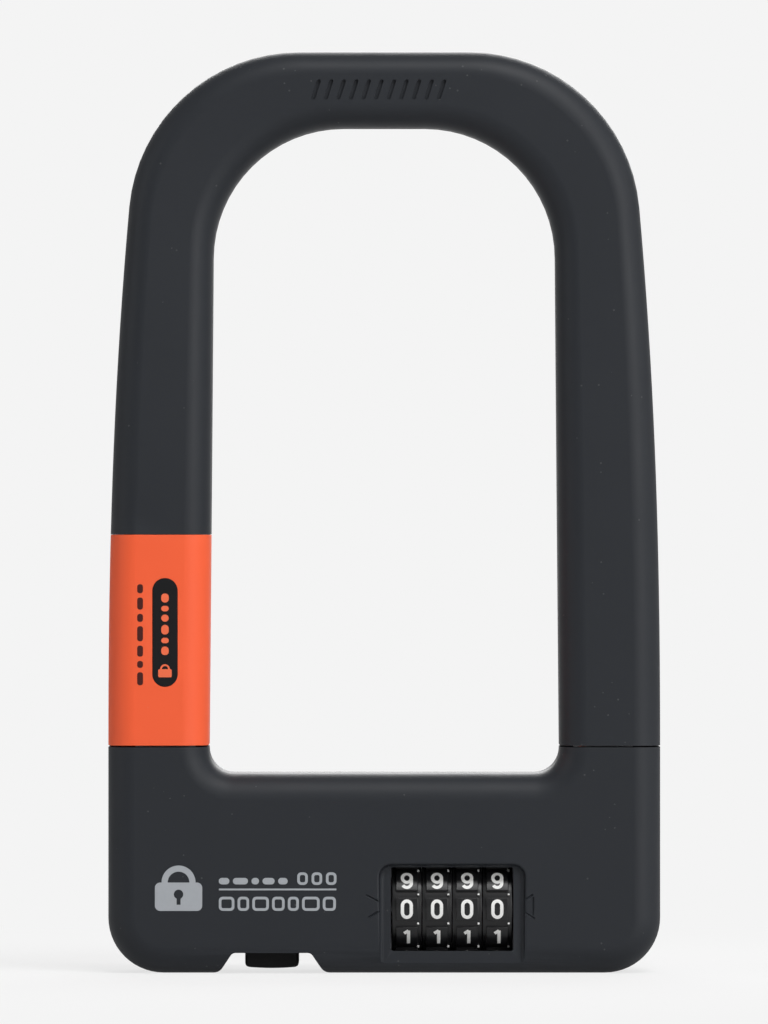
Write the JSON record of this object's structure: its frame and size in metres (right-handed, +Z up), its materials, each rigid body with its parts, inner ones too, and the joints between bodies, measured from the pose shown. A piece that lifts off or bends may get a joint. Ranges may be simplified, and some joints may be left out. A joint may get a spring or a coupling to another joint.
{
  "type": "u lock",
  "caption": "Silicone-covered combination U lock with number dials, a push-to-lock button, two sliding bolts and a lift-out steel shackle.",
  "frame": {"origin": "middle of the base that the body stands on", "axes": "+Z up the shackle, front with the dials towards -Y, +X to the right seen from the front"},
  "size_m": [0.11, 0.0256, 0.1836],
  "materials": {
    "charcoal_silicone": "matte",
    "orange_silicone": "matte",
    "black_plastic": "matte",
    "grey_plastic": "matte",
    "dial_black": "satin",
    "cast_case": "matte",
    "steel_plate": "satin",
    "bright_steel": "satin",
    "spring_steel": "satin",
    "brass": "satin"
  },
  "bodies": {
    "housing": {"body_cover": "charcoal_silicone", "case_front": "cast_case", "back_plate": "steel_plate", "case_screws": "bright_steel", "leg_bushes": "grey_plastic", "dial_cage": "black_plastic", "detent_spring": "spring_steel", "detent_rivets": "bright_steel", "spring_post": "bright_steel", "spindle_spring": "spring_steel", "left_bolt_spring": "spring_steel"},
    "shackle": {"shackle_core": "bright_steel", "shackle_cover": "charcoal_silicone", "accent_sleeve": "orange_silicone", "sleeve_badge": "black_plastic"},
    "right_bolt": {"bolt_right": "bright_steel", "link_arm": "steel_plate", "link_rivet": "bright_steel", "spindle": "bright_steel", "spindle_clips": "spring_steel"},
    "left_bolt": {"bolt_left": "bright_steel"},
    "button": {"push_button": "dial_black", "button_yoke": "steel_plate", "button_spring": "spring_steel"},
    "dial_one": {"dial_1": "dial_black", "sleeve_1": "brass"},
    "dial_two": {"dial_2": "dial_black", "sleeve_2": "brass"},
    "dial_three": {"dial_3": "dial_black", "sleeve_3": "brass"},
    "dial_four": {"dial_4": "dial_black", "sleeve_4": "brass"}
  },
  "joints": [
    {"name": "shackle_lift", "type": "slide", "parent": "housing", "child": "shackle", "axis": [0, 0, 1], "range_m": [0, 0.045]},
    {"name": "right_bolt_slide", "type": "slide", "parent": "housing", "child": "right_bolt", "axis": [1, 0, 0], "range_m": [0, 0.003], "stiffness_N_per_m": 400, "deforming": ["spindle_spring"]},
    {"name": "left_bolt_slide", "type": "slide", "parent": "housing", "child": "left_bolt", "axis": [-1, 0, 0], "range_m": [0, 0.003], "deforming": ["left_bolt_spring"]},
    {"name": "button_press", "type": "slide", "parent": "housing", "child": "button", "axis": [0, 0, 1], "range_m": [0, 0.003], "deforming": ["button_spring"]},
    {"name": "dial_1_spin", "type": "hinge", "parent": "housing", "child": "dial_one", "pos_m": [0.0045, -0.0025, 0.0128], "axis": [1, 0, 0], "continuous": true},
    {"name": "dial_2_spin", "type": "hinge", "parent": "housing", "child": "dial_two", "pos_m": [0.0105, -0.0025, 0.0128], "axis": [1, 0, 0], "continuous": true},
    {"name": "dial_3_spin", "type": "hinge", "parent": "housing", "child": "dial_three", "pos_m": [0.0165, -0.0025, 0.0128], "axis": [1, 0, 0], "continuous": true},
    {"name": "dial_4_spin", "type": "hinge", "parent": "housing", "child": "dial_four", "pos_m": [0.0225, -0.0025, 0.0128], "axis": [1, 0, 0], "continuous": true}
  ],
  "couplings": [
    {"joint": "left_bolt_slide", "follows": "right_bolt_slide", "ratio": 1},
    {"joint": "button_press", "follows": "right_bolt_slide", "ratio": 1}
  ]
}
